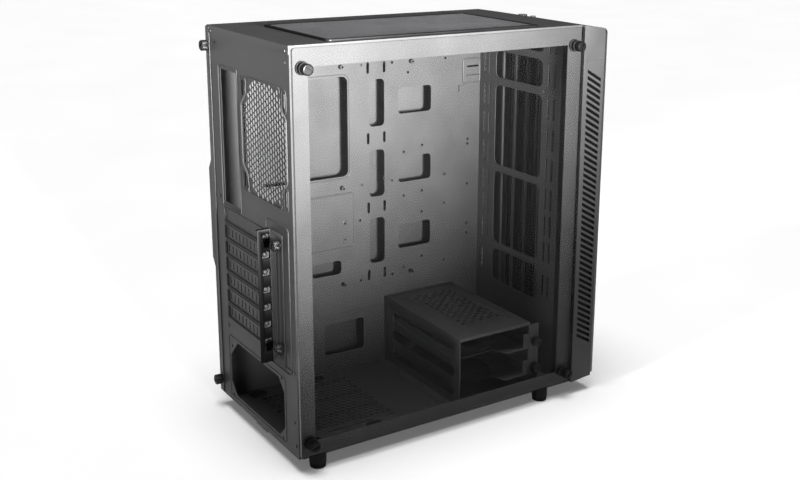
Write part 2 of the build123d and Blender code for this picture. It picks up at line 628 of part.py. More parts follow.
# ---------------------------------------------------------------- filters, feet, pads
def make_top_filter_frame():
    """Thin frame of the removable dust filter."""
    outer = rect(FILTER_X0, FILTER_X1, FILTER_Y0, FILTER_Y1, 6.0)
    rim = 5.0
    hole = rect(FILTER_X0 + rim, FILTER_X1 - rim, FILTER_Y0 + rim, FILTER_Y1 - rim, 3.0)
    return sheet(level_plane(BODY_TOP + 0.05), outer, [hole], FILTER_HEIGHT)


def make_top_filter_mesh():
    """Fine mesh held by the top filter frame."""
    rim = 5.0
    mesh = rect(FILTER_X0 + rim, FILTER_X1 - rim, FILTER_Y0 + rim, FILTER_Y1 - rim, 3.0)
    return sheet(level_plane(BODY_TOP + 0.8), mesh, (), 0.6)


def make_supply_filter():
    """Slide-out dust filter tray under the power supply vent."""
    x0, x1, y0, y1 = -64.0, 66.0, REAR_Y - 156.0, REAR_Y - 4.0
    z0, z1 = FLOOR_Z - 4.0, FLOOR_Z - 1.2
    holes = []
    for column in range(3):
        for row in range(3):
            u = x0 + 6.0 + column * 40.0
            v = y0 + 8.0 + row * 46.0
            holes.append(rect(u, u + 36.0, v, v + 42.0, 2.0))
    tray = sheet(level_plane(z0), rect(x0, x1, y0, y1, 3.0), holes, z1 - z0)
    pull = block(-14.0, 16.0, y1 - 3.0, y1, z0 - 3.0, z1)
    return tray + pull


def make_filter_rails():
    """Two angle rails under the floor that hold the slide-out filter."""
    y0, y1 = REAR_Y - 158.0, REAR_Y - 20.0
    bottom = FLOOR_Z - 5.6
    rails = []
    for x, lip in ((-66.0, 1.0), (68.0, -1.0)):
        wall = block(x - 0.6, x + 0.6, y0, y1, bottom, FLOOR_Z)
        inner = x + lip * 4.5
        ledge = block(min(x, inner), max(x, inner), y0, y1, bottom, bottom + 1.2)
        rails.append(wall + ledge)
    return group(rails)


def make_foot(x, y):
    """Round plastic foot with a rubber sole."""
    body = Pos(x, y, FOOT_HEIGHT / 2) * Cylinder(FOOT_R, FOOT_HEIGHT)
    body = chamfer(body.edges().filter_by(GeomType.CIRCLE), 1.0)
    groove = Pos(x, y, 4.0) * (Cylinder(FOOT_R + 1, 0.8) - Cylinder(FOOT_R - 0.6, 0.8))
    return body - groove


def make_supply_pads():
    """Four oval rubber pads that the power supply rests on."""
    pads = []
    for x in (-78.0, 70.0):
        for y in (REAR_Y - 32.0, REAR_Y - 113.0):
            pad = extrude(SlotOverall(20.0, 12.0, rotation=90), amount=2.6)
            pads.append(Pos(x, y, INNER_FLOOR_Z) * pad)
    return group(pads)


def make_rivets():
    """Rivet heads on the rear panel."""
    height = 0.9
    heads = [rod("y", 2.2, REAR_Y + TOP_LIP, REAR_Y + TOP_LIP + height, x, 474.0)
             for x in (97.5, -97.0)]
    for x, z in ((91.0, 278.0), (81.0, 116.0), (-99.0, 32.0), (-99.0, 119.0)):
        heads.append(rod("y", 2.2, REAR_Y, REAR_Y + height, x, z))
    return group(heads)


# ---------------------------------------------------------------- front bezel
def bezel_profile(inset):
    """Side outline of the bezel, shrunk by inset."""
    return [(CHASSIS_FRONT_Y, FLOOR_Z + inset), (CHASSIS_FRONT_Y, BODY_TOP - inset),
            (BEZEL_BODY_Y + inset, BODY_TOP - BEZEL_TOP_DROP - inset),
            (BEZEL_BODY_Y + inset, FLOOR_Z + 3.0 + inset)]


def make_front_bezel():
    """Hollow plastic front with side vents and a row of ports on top."""
    outer_face = Face(outline(bezel_profile(0.0)))
    solid = extrude(side_plane(-BEZEL_HALF) * outer_face, amount=2 * BEZEL_HALF)
    inner_half = BEZEL_HALF - BEZEL_WALL
    inner_face = Face(outline(bezel_profile(BEZEL_WALL)))
    bezel = solid - extrude(side_plane(-inner_half) * inner_face, amount=2 * inner_half)
    for side in (-1, 1):
        outside = side * BEZEL_HALF
        pocket_floor = outside - side * 1.5
        inside = outside - side * 5.0
        bezel -= block(min(outside, pocket_floor), max(outside, pocket_floor),
                       VENT_Y0, VENT_Y1, VENT_Z0, VENT_Z1)
        bezel -= block(min(outside, inside), max(outside, inside),
                       VENT_Y0 + 1.5, VENT_Y1 - 1.5, VENT_Z0 + 1.5, VENT_Z1 - 4.0)
    bezel -= block(-78.0, 78.0, BEZEL_BODY_Y - 1, BEZEL_BODY_Y + BEZEL_WALL + 1, 50.0, 440.0)
    for x in USB_X:
        bezel -= block(x - 7.4, x + 7.4, PORT_Y - 3.6, PORT_Y + 3.6, 465.0, BODY_TOP + 1)
    for x in JACK_X:
        bezel -= rod("z", 4.3, 465.0, BODY_TOP + 1, x, PORT_Y)
    bezel -= rod("z", 6.3, 465.0, BODY_TOP + 1, POWER_X, PORT_Y)
    bezel -= rod("z", 3.8, 465.0, BODY_TOP + 1, RESET_X, PORT_Y)
    return bezel


def make_vent_strip(side):
    """Side grille of slanted slots in the bezel's pocket."""
    y0, y1 = VENT_Y0 + 2.5, VENT_Y1 - 2.5
    drop = (y1 - y0) * math.tan(math.radians(VENT_SLOPE))
    holes = []
    for number in range(VENT_COUNT):
        high = VENT_FIRST_Z - number * VENT_PITCH
        low = high - drop
        holes.append(outline([(y0, low - VENT_SLOT_HALF), (y0, low + VENT_SLOT_HALF),
                              (y1, high + VENT_SLOT_HALF), (y1, high - VENT_SLOT_HALF)]))
    gap = 0.1
    strip = rect(VENT_Y0 + gap, VENT_Y1 - gap, VENT_Z0 + gap, VENT_Z1 - gap, 1.5)
    x0 = BEZEL_HALF - 1.4 if side > 0 else -BEZEL_HALF + gap
    return sheet(side_plane(x0), strip, holes, 1.3)


def make_front_glass():
    """Dark front panel on the bezel."""
    plane = rear_plane(BEZEL_BODY_Y)
    return sheet(plane, rect(-BEZEL_HALF + 0.5, BEZEL_HALF - 0.5, FLOOR_Z + 3.5, BODY_TOP - 5.5, 6.0),
                 (), FRONT_GLASS)


def make_fan_filter():
    """Front filter frame with upright ribs behind the front panel."""
    y = CHASSIS_FRONT_Y - 2.0
    holes = []
    left, pitch, bar = -81.0, 27.0, 3.0
    for column in range(6):
        u = left + column * pitch
        holes.append(rect(u + bar / 2, u + pitch - bar / 2, 56.0, 444.0, 2.0))
    return sheet(rear_plane(y), rect(-86.0, 86.0, 48.0, 450.0, 3.0), holes, 3.0)


def make_io_board():
    """Circuit board that carries the front ports."""
    return block(-80.0, 44.0, PORT_Y - 11.0, PORT_Y + 11.0, IO_BOARD_Z, IO_BOARD_TOP_Z)


def make_usb_sockets():
    """Two metal-shelled sockets with their tongues."""
    sockets = []
    for x in USB_X:
        shell = block(x - 7.2, x + 7.2, PORT_Y - 3.4, PORT_Y + 3.4, IO_BOARD_TOP_Z, PORT_TOP)
        shell -= block(x - 6.6, x + 6.6, PORT_Y - 2.8, PORT_Y + 2.8, 460.6, PORT_TOP + 1)
        shell += block(x - 6.0, x + 6.0, PORT_Y + 0.3, PORT_Y + 2.2, 460.0, PORT_TOP - 1.5)
        sockets.append(shell)
    return group(sockets)


def make_audio_jacks():
    """Two round audio sockets."""
    jacks = []
    for x in JACK_X:
        jack = rod("z", 4.2, IO_BOARD_TOP_Z, PORT_TOP, x, PORT_Y)
        jacks.append(jack - rod("z", 1.78, 461.6, PORT_TOP + 1, x, PORT_Y))
    return group(jacks)


def make_button(x, radius):
    """Push button with a collar that stops it under the bezel."""
    cap = rod("z", radius, SWITCH_TOP_Z + 2.1, BODY_TOP - 1.0, x, PORT_Y)
    collar = rod("z", radius + 1.5, COLLAR_Z, COLLAR_Z + 2.5, x, PORT_Y)
    return cap + collar


def make_switches():
    """Two tact switches on the board under the buttons."""
    return group([block(x - 3.0, x + 3.0, PORT_Y - 3.0, PORT_Y + 3.0, IO_BOARD_TOP_Z, SWITCH_TOP_Z)
                  for x in (POWER_X, RESET_X)])


# ---------------------------------------------------------------- build
os.makedirs("parts", exist_ok=True)

save("rear_panel", make_rear_panel())
save("motherboard_tray", make_motherboard_tray())
save("floor_pan", make_floor_pan())
save("top_panel", make_top_panel())
save("front_frame", make_front_frame())
save("slot_shelf", make_slot_shelf())
for cover_index in range(SLOT_COUNT):
    save(f"slot_cover_{cover_index + 1}", make_slot_cover(cover_index))
save("slot_screws", make_slot_screws())
save("slot_bracket", make_slot_bracket())
save("board_standoffs", make_board_standoffs())
save("glass_inserts", make_glass_inserts())
save("glass_bumpers", make_glass_bumpers())
save("drive_cage", make_drive_cage())
save("cage_flange", make_cage_flange())
save("cage_screws", make_cage_screws())
for level_index, level_name in enumerate(("lower", "upper")):
    save(f"drive_sled_{level_name}", make_sled(level_index))
    save(f"sled_fixings_{level_name}", make_sled_fixings(level_index))
save("glass_side_panel", make_glass_panel())
save("glass_washers", make_glass_washers())
save("steel_side_panel", make_steel_panel())
save("steel_panel_grip", make_panel_grip())
save("top_filter_frame", make_top_filter_frame())
save("top_filter_mesh", make_top_filter_mesh())
save("supply_filter", make_supply_filter())
save("filter_rails", make_filter_rails())
save("supply_pads", make_supply_pads())
save("rear_rivets", make_rivets())
for foot_name, foot_x, foot_y in (("rear_left", -FOOT_X, FOOT_Y), ("rear_right", FOOT_X, FOOT_Y),
                                  ("front_left", -FOOT_X, -FOOT_Y), ("front_right", FOOT_X, -FOOT_Y)):
    save(f"foot_{foot_name}", make_foot(foot_x, foot_y))
save("front_bezel", make_front_bezel())
save("vent_strip_left", make_vent_strip(-1))
save("vent_strip_right", make_vent_strip(1))
save("front_glass", make_front_glass())
save("front_fan_filter", make_fan_filter())
save("front_io_board", make_io_board())
save("usb_sockets", make_usb_sockets())
save("audio_jacks", make_audio_jacks())
save("front_switches", make_switches())
save("power_button", make_button(POWER_X, 6.0))
save("reset_button", make_button(RESET_X, 3.5))

for y_name, screw_y in zip(("rear", "front"), GLASS_SCREW_Y):
    for z_name, screw_z in zip(("bottom", "top"), GLASS_SCREW_Z):
        screw = make_thumbscrew("x", -1, LEFT_X - 1.5, BORDER_X + 6.0, screw_y, screw_z)
        save(f"glass_thumbscrew_{y_name}_{z_name}", screw)
for z_name, screw_z in zip(("bottom", "top"), GLASS_SCREW_Z):
    screw = make_thumbscrew("y", 1, REAR_Y + 1.25, REAR_Y - 6.0, RIGHT_X - 5.7, screw_z)
    save(f"steel_panel_thumbscrew_{z_name}", screw)
for z_name, screw_z in zip(("bottom", "top"), BRACKET_SCREW_Z):
    screw = make_thumbscrew("y", 1, REAR_Y + 1.1, REAR_Y - 6.0, BRACKET_SCREW_X, screw_z)
    save(f"bracket_thumbscrew_{z_name}", screw)
for z_name, screw_z in zip(("bottom", "top"), CAGE_SCREW_Z):
    screw = make_thumbscrew("x", -1, CAGE_X0 - 0.05, CAGE_X0 + 7.0, CAGE_SCREW_Y, screw_z)
    save(f"cage_thumbscrew_{z_name}", screw)
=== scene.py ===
import json
import math

import bmesh
import bpy
from mathutils import Matrix, Vector


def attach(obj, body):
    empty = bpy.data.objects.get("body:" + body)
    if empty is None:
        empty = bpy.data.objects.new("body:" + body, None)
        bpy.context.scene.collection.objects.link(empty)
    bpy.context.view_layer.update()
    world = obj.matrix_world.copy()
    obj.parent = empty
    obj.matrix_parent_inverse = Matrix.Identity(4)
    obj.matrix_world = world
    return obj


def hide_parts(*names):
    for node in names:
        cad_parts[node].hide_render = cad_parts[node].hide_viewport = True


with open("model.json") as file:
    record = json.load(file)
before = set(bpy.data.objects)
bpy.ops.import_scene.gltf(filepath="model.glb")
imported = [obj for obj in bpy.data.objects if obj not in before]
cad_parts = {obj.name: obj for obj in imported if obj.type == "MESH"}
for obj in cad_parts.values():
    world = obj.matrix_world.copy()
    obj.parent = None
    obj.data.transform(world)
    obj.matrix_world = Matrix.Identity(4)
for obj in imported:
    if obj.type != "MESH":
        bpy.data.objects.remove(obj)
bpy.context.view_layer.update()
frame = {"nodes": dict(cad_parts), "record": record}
MM = 0.001
DRIFT_MM = 60.0               # length over which a finish drifts in tone
REAR = 187.0                  # outer face of the rear panel; all places are in mm
TRAY_X = 85.0                 # face of the board tray
FAN_X, FAN_Z = -38.5, 367.5   # middle of the rear fan field
FAN_HOLE = 52.5               # fan screws, from that middle
SLOT_TOP_Z, SLOT_PITCH, SLOT_COUNT = 258.6, 20.32, 7
SLOT_SCREW = (-46.0, REAR + 7.0)
FLOOR_TOP = 19.0
PAD_X, PAD_Y = (-78.0, 70.0), (REAR - 32.0, REAR - 113.0)
FOOT_X, FOOT_Y = 98.0, 160.0
CAGE_SCREW_X, CAGE_SCREW_Y = (-70.0, -20.0, 30.0, 60.0), -29.5
GAUZE_PITCH, GAUZE_WIRE = 1.3, 0.55
GAUZE_Y, GAUZE_Z = (-230.0, -203.5), (74.0, 431.0)
GAUZE_COLUMNS, GAUZE_ROWS = 21, 275


# ---------------------------------------------------------------- materials
def shader(name):
    """A new material with its tree, principled shader and object coordinates."""
    material = bpy.data.materials.new(name)
    material.use_nodes = True
    tree = material.node_tree
    bsdf = tree.nodes["Principled BSDF"]
    place = tree.nodes.new("ShaderNodeTexCoord")
    return material, tree, bsdf, place.outputs["Object"]


def noise(tree, coords, scale, detail=4.0, rough=0.6):
    """Fractal noise; scale is roughly its number of features to the metre."""
    node = tree.nodes.new("ShaderNodeTexNoise")
    node.inputs["Scale"].default_value = scale
    node.inputs["Detail"].default_value = detail
    node.inputs["Roughness"].default_value = rough
    tree.links.new(coords, node.inputs["Vector"])
    return node.outputs["Fac"]


def spread(tree, value, low, high):
    """Maps a 0.3 to 0.7 value to the range low to high."""
    node = tree.nodes.new("ShaderNodeMapRange")
    node.inputs["From Min"].default_value = 0.3
    node.inputs["From Max"].default_value = 0.7
    node.inputs["To Min"].default_value = low
    node.inputs["To Max"].default_value = high
    tree.links.new(value, node.inputs["Value"])
    return node.outputs["Result"]


def tint(tree, value, dark, light):
    """Turns a 0.3 to 0.7 value into a colour between dark and light."""
    node = tree.nodes.new("ShaderNodeValToRGB")
    node.color_ramp.elements[0].position = 0.3
    node.color_ramp.elements[0].color = (*dark, 1)
    node.color_ramp.elements[1].position = 0.7
    node.color_ramp.elements[1].color = (*light, 1)
    tree.links.new(value, node.inputs["Fac"])
    return node.outputs["Color"]


def bump(tree, bsdf, height, strength, distance):
    """Gives the shader fine relief from a height value."""
    node = tree.nodes.new("ShaderNodeBump")
    node.inputs["Strength"].default_value = strength
    node.inputs["Distance"].default_value = distance
    tree.links.new(height, node.inputs["Height"])
    tree.links.new(node.outputs["Normal"], bsdf.inputs["Normal"])


def surface(name, dark, light, rough, grain_mm, bump_mm, metal=0.0, specular=0.5, strength=0.35, coat=0.0):
    """A finish with fine grain, slow colour drift and uneven roughness."""
    material, tree, bsdf, coords = shader(name)
    grain = noise(tree, coords, 1.0 / (grain_mm * MM), 3.0)
    drift = noise(tree, coords, 1.0 / (DRIFT_MM * MM), 5.0)
    mix = tree.nodes.new("ShaderNodeMix")
    mix.inputs["Factor"].default_value = 0.35
    tree.links.new(drift, mix.inputs["A"])
    tree.links.new(grain, mix.inputs["B"])
    tree.links.new(tint(tree, mix.outputs["Result"], dark, light), bsdf.inputs["Base Color"])
    tree.links.new(spread(tree, drift, rough[0], rough[1]), bsdf.inputs["Roughness"])
    bump(tree, bsdf, grain, strength, bump_mm * MM)
    bsdf.inputs["Metallic"].default_value = metal
    bsdf.inputs["Specular IOR Level"].default_value = specular
    bsdf.inputs["Coat Weight"].default_value = coat
    return material


def bracket_paint(foot_depth):
    """Black paint on the leg that stands out; the foot against the panel is painted like the panel."""
    material = surface("bracket_black", (0.0008, 0.0008, 0.0008), (0.0016, 0.0016, 0.0016), (0.40, 0.52),
                       0.8, 0.02, specular=0.05)
    tree = material.node_tree
    bsdf = tree.nodes["Principled BSDF"]
    black = bsdf.inputs["Base Color"].links[0].from_socket
    place = tree.nodes.new("ShaderNodeTexCoord")
    parts = tree.nodes.new("ShaderNodeSeparateXYZ")
    tree.links.new(place.outputs["Object"], parts.inputs["Vector"])
    out = tree.nodes.new("ShaderNodeMapRange")
    out.inputs["From Min"].default_value = (REAR + foot_depth - 0.2) * MM
    out.inputs["From Max"].default_value = (REAR + foot_depth + 0.2) * MM
    tree.links.new(parts.outputs["Y"], out.inputs["Value"])
    grain = noise(tree, place.outputs["Object"], 400.0)
    grey = tint(tree, grain, (0.028, 0.028, 0.0285), (0.040, 0.040, 0.0405))
    mix = tree.nodes.new("ShaderNodeMix")
    mix.data_type = "RGBA"
    tree.links.new(out.outputs["Result"], mix.inputs["Factor"])
    tree.links.new(grey, mix.inputs[6])
    tree.links.new(black, mix.inputs[7])
    tree.links.new(mix.outputs[2], bsdf.inputs["Base Color"])
    return material


def clear_glass():
    """Clear sheet: mostly straight through, a weak mirror, faint dust and dark cut edges."""
    material, tree, bsdf, coords = shader("clear_glass")
    dust = noise(tree, coords, 90.0, 6.0, 0.7)
    tree.links.new(spread(tree, dust, 0.01, 0.05), bsdf.inputs["Roughness"])
    colour = tint(tree, dust, (0.006, 0.006, 0.006), (0.014, 0.014, 0.014))
    tree.links.new(colour, bsdf.inputs["Base Color"])
    bsdf.inputs["Specular IOR Level"].default_value = 0.5
    clear = tree.nodes.new("ShaderNodeBsdfTransparent")
    clear.inputs["Color"].default_value = (0.98, 0.98, 0.98, 1)
    mix = tree.nodes.new("ShaderNodeMixShader")
    facing = tree.nodes.new("ShaderNodeTexCoord")
    parts = tree.nodes.new("ShaderNodeSeparateXYZ")
    tree.links.new(facing.outputs["Normal"], parts.inputs["Vector"])
    across = tree.nodes.new("ShaderNodeMath")
    across.operation = "ABSOLUTE"
    tree.links.new(parts.outputs["X"], across.inputs[0])
    edge = tree.nodes.new("ShaderNodeMapRange")
    edge.inputs["From Min"].default_value = 0.35
    edge.inputs["From Max"].default_value = 0.90
    edge.inputs["To Min"].default_value = 0.80
    edge.inputs["To Max"].default_value = 0.06
    tree.links.new(across.outputs["Value"], edge.inputs["Value"])
    tree.links.new(edge.outputs["Result"], mix.inputs["Fac"])
    tree.links.new(clear.outputs["BSDF"], mix.inputs[1])
    tree.links.new(bsdf.outputs["BSDF"], mix.inputs[2])
    tree.links.new(mix.outputs["Shader"], tree.nodes["Material Output"].inputs["Surface"])
    return material


MATERIALS = {
    "chassis_steel": surface("chassis_steel", (0.026, 0.026, 0.0262), (0.037, 0.037, 0.0372), (0.42, 0.55),
                             0.55, 0.010, specular=0.20, strength=0.3),
    "black_fastener": surface("black_fastener", (0.0015, 0.0015, 0.0015), (0.003, 0.003, 0.003),
                              (0.34, 0.46), 0.5, 0.02, specular=0.14),
    "zinc_fastener": surface("zinc_fastener", (0.045, 0.045, 0.046), (0.080, 0.080, 0.081), (0.40, 0.55),
                             0.3, 0.02, metal=1.0),
    "rubber": surface("rubber", (0.004, 0.004, 0.004), (0.008, 0.008, 0.008), (0.70, 0.88), 0.6, 0.06,
                      specular=0.2),
    "dark_glass": surface("dark_glass", (0.006, 0.006, 0.007), (0.009, 0.009, 0.010), (0.06, 0.12),
                          3.0, 0.002, coat=0.6, strength=0.1),
    "bezel_plastic": surface("bezel_plastic", (0.022, 0.022, 0.0222), (0.031, 0.031, 0.0312), (0.48, 0.60),
                             0.5, 0.012, specular=0.30),
    "filter_mesh": surface("filter_mesh", (0.040, 0.040, 0.042), (0.060, 0.060, 0.063), (0.55, 0.70),
                           0.4, 0.03),
    "bracket_black": bracket_paint(1.4),
    "circuit_board": surface("circuit_board", (0.008, 0.045, 0.022), (0.012, 0.070, 0.034), (0.30, 0.45),
                             1.5, 0.03),
    "port_metal": surface("port_metal", (0.58, 0.58, 0.60), (0.74, 0.74, 0.76), (0.16, 0.28),
                          0.4, 0.01, metal=1.0),
    "port_plastic": surface("port_plastic", (0.010, 0.010, 0.010), (0.016, 0.016, 0.016), (0.25, 0.40),
                            0.5, 0.02),
    "clear_glass": clear_glass(),
}
SLOTS = {entry["node"]: entry["material_slot"] for entry in frame["record"]["subparts"]}
for node_name, node in frame["nodes"].items():
    node.data.materials.clear()
    node.data.materials.append(MATERIALS[SLOTS[node_name]])


# ---------------------------------------------------------------- building helpers
def piece(name, mesh, body, slot, replaced=()):
    """A finished object that rides a body, in place of CAD nodes if any are named."""
    thing = bpy.data.objects.new(name, mesh)
    bpy.context.scene.collection.objects.link(thing)
    mesh.materials.clear()
    mesh.materials.append(MATERIALS[slot])
    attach(thing, body)
    if replaced:
        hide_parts(*replaced)
    return thing


def to_mesh(bm, name, smooth_angle=40.0):
    """Mesh with faces that shade smooth up to an angle."""
    bmesh.ops.recalc_face_normals(bm, faces=bm.faces)
    for face in bm.faces:
        face.smooth = True
    limit = math.radians(smooth_angle)
    for edge in bm.edges:
        edge.smooth = len(edge.link_faces) == 2 and edge.calc_face_angle(0.0) < limit
    mesh = bpy.data.meshes.new(name)
    bm.to_mesh(mesh)
    bm.free()
    return mesh


def turn(origin, outward):
    """Matrix that takes local +Z to a direction, at a place given in mm."""
    spin = Vector(outward).to_track_quat("Z", "Y").to_matrix().to_4x4()
    return Matrix.Translation(Vector(origin) * MM) @ spin


def add_lathe(bm, profile, count, matrix, wave=0.0, waved=()):
    """Turns (radius, height) mm pairs round Z; rings named in waved carry a knurl."""
    rings = []
    for index, (radius, height) in enumerate(profile):
        ring = []
        for step in range(count):
            r = radius
            if index in waved and step % 2:
                r -= wave
            angle = 2 * math.pi * step / count
            spot = Vector((r * MM * math.cos(angle), r * MM * math.sin(angle), height * MM))
            ring.append(bm.verts.new(matrix @ spot))
        rings.append(ring)
    for low, high in zip(rings, rings[1:]):
        for step in range(count):
            after = (step + 1) % count
            bm.faces.new((low[step], low[after], high[after], high[step]))
    bm.faces.new(rings[0])
    bm.faces.new(rings[-1])


def add_prism(bm, points, z0, z1, matrix, inset=0.0):
    """Closed prism of an outline in mm, its upper rim drawn in for a bevel."""
    middle = Vector((sum(p[0] for p in points), sum(p[1] for p in points))) / len(points)
    levels = [(z0, 0.0), (z1 - inset, 0.0), (z1, inset)] if inset else [(z0, 0.0), (z1, 0.0)]
    rings = []
    for z, draw in levels:
        ring = []
        for u, v in points:
            away = Vector((u, v)) - middle
            away = away - away.normalized() * draw if draw else away
            spot = middle + away
            ring.append(bm.verts.new(matrix @ Vector((spot.x * MM, spot.y * MM, z * MM))))
        rings.append(ring)
    for low, high in zip(rings, rings[1:]):
        for step in range(len(points)):
            after = (step + 1) % len(points)
            bm.faces.new((low[step], low[after], high[after], high[step]))
    bm.faces.new(rings[0])
    bm.faces.new(rings[-1])


def add_box(bm, lo, hi):
    """Box between two corners in mm."""
    made = bmesh.ops.create_cube(bm, size=1.0)["verts"]
    size = Vector(hi) - Vector(lo)
    centre = (Vector(hi) + Vector(lo)) / 2
    for vert in made:
        vert.co = Vector((vert.co.x * size.x + centre.x, vert.co.y * size.y + centre.y,
                          vert.co.z * size.z + centre.z)) * MM


def add_tube(bm, points, radius, closed=False, sides=8):
    """Round bead along straight runs in mm, its corners mitred."""
    spots = [Vector(p) * MM for p in points]
    count = len(spots)
    rings = []
    for index, spot in enumerate(spots):
        before = spots[index - 1] if index > 0 or closed else spot
        after = spots[(index + 1) % count] if index < count - 1 or closed else spot
        run_in = (spot - before).normalized() if spot != before else (after - spot).normalized()
        run_out = (after - spot).normalized() if spot != after else run_in
        along = (run_in + run_out).normalized()
        side = along.orthogonal().normalized()
        for guess in (Vector((1, 0, 0)), Vector((0, 1, 0)), Vector((0, 0, 1))):
            if abs(guess.dot(run_in)) < 0.1 and abs(guess.dot(run_out)) < 0.1:
                side = guess
                break
        other = along.cross(side).normalized()
        widen = 1.0 / max(0.35, along.dot(run_in))
        ring = []
        for step in range(sides):
            angle = 2 * math.pi * step / sides
            offset = side * math.cos(angle) + other * math.sin(angle) * widen
            ring.append(bm.verts.new(spot + offset * radius * MM))
        rings.append(ring)
    pairs = list(zip(rings, rings[1:])) + ([(rings[-1], rings[0])] if closed else [])
    for low, high in pairs:
        for step in range(sides):
            after = (step + 1) % sides
            bm.faces.new((low[step], low[after], high[after], high[step]))
    if not closed:
        bm.faces.new(rings[0])
        bm.faces.new(rings[-1])


def rounded(u0, u1, v0, v1, radius, steps=5):
    """Corner points of a rounded rectangle."""
    points = []
    for cu, cv, start in ((u1 - radius, v1 - radius, 0), (u0 + radius, v1 - radius, 90),
                          (u0 + radius, v0 + radius, 180), (u1 - radius, v0 + radius, 270)):
        for step in range(steps + 1):
            angle = math.radians(start + 90 * step / steps)
            points.append((cu + radius * math.cos(angle), cv + radius * math.sin(angle)))
    return points


def body_of(node_name):
    """The record's body that a CAD node belongs to."""
    for body, members in frame["record"]["behaviour"]["bodies"].items():
        if node_name in members:
            return body
    return "chassis"


def soften(node_name, width, segments=2, slot=None):
    """The CAD shape with its sharp edges rolled over, as folded and cut sheet has."""
    source = frame["nodes"][node_name]
    bm = bmesh.new()
    bm.from_mesh(source.data)
    bmesh.ops.remove_doubles(bm, verts=bm.verts, dist=1e-6)
    bmesh.ops.dissolve_limit(bm, angle_limit=math.radians(1.0), verts=bm.verts, edges=bm.edges)
    limit = math.radians(50)
    sharp = [edge for edge in bm.edges
             if len(edge.link_faces) == 2 and edge.calc_face_angle(0.0) > limit]
    bmesh.ops.bevel(bm, geom=sharp, offset=width * MM, segments=segments, affect="EDGES", profile=0.5,
                    clamp_overlap=True)
    mesh = to_mesh(bm, node_name + "_rolled")
    return piece(node_name + "_rolled", mesh, body_of(node_name), slot or SLOTS[node_name], (node_name,))


# ---------------------------------------------------------------- fasteners
def thumbscrew(node_name, seat, outward, slot_angle, shank):
    """Knurled head with a rolled rim, a driver slot and a plain shank."""
    matrix = turn(seat, outward) @ Matrix.Rotation(math.radians(slot_angle), 4, "Z")
    bm = bmesh.new()
    profile = [(4.9, 0.08), (5.5, 0.5), (5.5, 1.5), (6.25, 1.9), (6.25, 8.0), (5.7, 8.6),
               (5.0, 8.8), (4.9, 7.4)]
    add_lathe(bm, profile, 60, matrix, wave=0.4, waved=(3, 4))
    for side in (-1, 1):
        start, end = (12, 168) if side > 0 else (192, 348)
        arc = []
        for step in range(15):
            angle = math.radians(start + (end - start) * step / 14)
            arc.append((4.85 * math.cos(angle), 4.85 * math.sin(angle)))
        add_prism(bm, arc, 7.3, 8.95, matrix, inset=0.25)
    add_lathe(bm, [(2.0, -shank), (2.0, 0.2)], 24, matrix)
    for turn_index in range(int(shank / 0.8)):
        z = -shank + 0.5 + turn_index * 0.8
        if z < -4.5:
            add_lathe(bm, [(1.98, z - 0.2), (2.03, z), (1.98, z + 0.2)], 24, matrix)
    piece(node_name + "_knurled", to_mesh(bm, node_name, 35.0), node_name, "black_fastener", (node_name,))


def pan_screw(bm, seat, outward, radius, height, angle=0.0):
    """Domed screw head with a cross recess."""
    matrix = turn(seat, outward) @ Matrix.Rotation(math.radians(angle), 4, "Z")
    add_lathe(bm, [(radius, 0.0), (radius, height * 0.35), (radius * 0.86, height * 0.75),
                   (radius * 0.6, height * 0.95), (radius * 0.56, height * 0.45)], 28, matrix)
    for quarter in range(4):
        leaf = []
        for step in range(7):
            a = math.radians(quarter * 90 + 16 + 58 * step / 6)
            leaf.append((radius * 0.56 * math.cos(a), radius * 0.56 * math.sin(a)))
        m = math.radians(quarter * 90 + 45)
        leaf.append((radius * 0.2 * math.cos(m), radius * 0.2 * math.sin(m)))
        add_prism(bm, leaf, height * 0.4, height * 0.93, matrix)


GLASS_Y = {"rear": 173.5, "front": -188.5}
GLASS_Z = {"bottom": 36.0, "top": 456.5}
tilts = iter((20, -35, 50, 75, 10, 40, -20, 65, 30, -10))
for y_name, y in GLASS_Y.items():
    for z_name, z in GLASS_Z.items():
        thumbscrew(f"glass_thumbscrew_{y_name}_{z_name}", (-113.5, y, z), (-1, 0, 0), next(tilts), 14.0)
for z_name, z in GLASS_Z.items():
    thumbscrew(f"steel_panel_thumbscrew_{z_name}", (106.3, REAR + 1.25, z), (0, 1, 0), next(tilts), 7.25)
for z_name, z in {"bottom": 140.5, "top": 260.5}.items():
    thumbscrew(f"bracket_thumbscrew_{z_name}", (-72.0, REAR + 1.1, z), (0, 1, 0), next(tilts), 7.1)
for z_name, z in {"bottom": 46.5, "top": 82.0}.items():
    thumbscrew(f"cage_thumbscrew_{z_name}", (-95.05, -150.8, z), (-1, 0, 0), next(tilts), 7.05)

bm = bmesh.new()
for index in range(SLOT_COUNT):
    seat = (*SLOT_SCREW, SLOT_TOP_Z - SLOT_PITCH * index + 5.0)
    pan_screw(bm, seat, (-1, 0, 0), 3.2, 2.2, 23.0 * index)
    add_lathe(bm, [(1.55, 0.0), (1.55, 5.0)], 16, turn(seat, (1, 0, 0)))
piece("slot_screw_heads", to_mesh(bm, "slot_screw_heads"), "chassis", "zinc_fastener", ("slot_screws",))

bm = bmesh.new()
for x in CAGE_SCREW_X:
    pan_screw(bm, (x, CAGE_SCREW_Y, FLOOR_TOP + 1.0), (0, 0, 1), 3.0, 1.8, x)
piece("cage_screw_heads", to_mesh(bm, "cage_screw_heads"), "chassis", "zinc_fastener", ("cage_screws",))

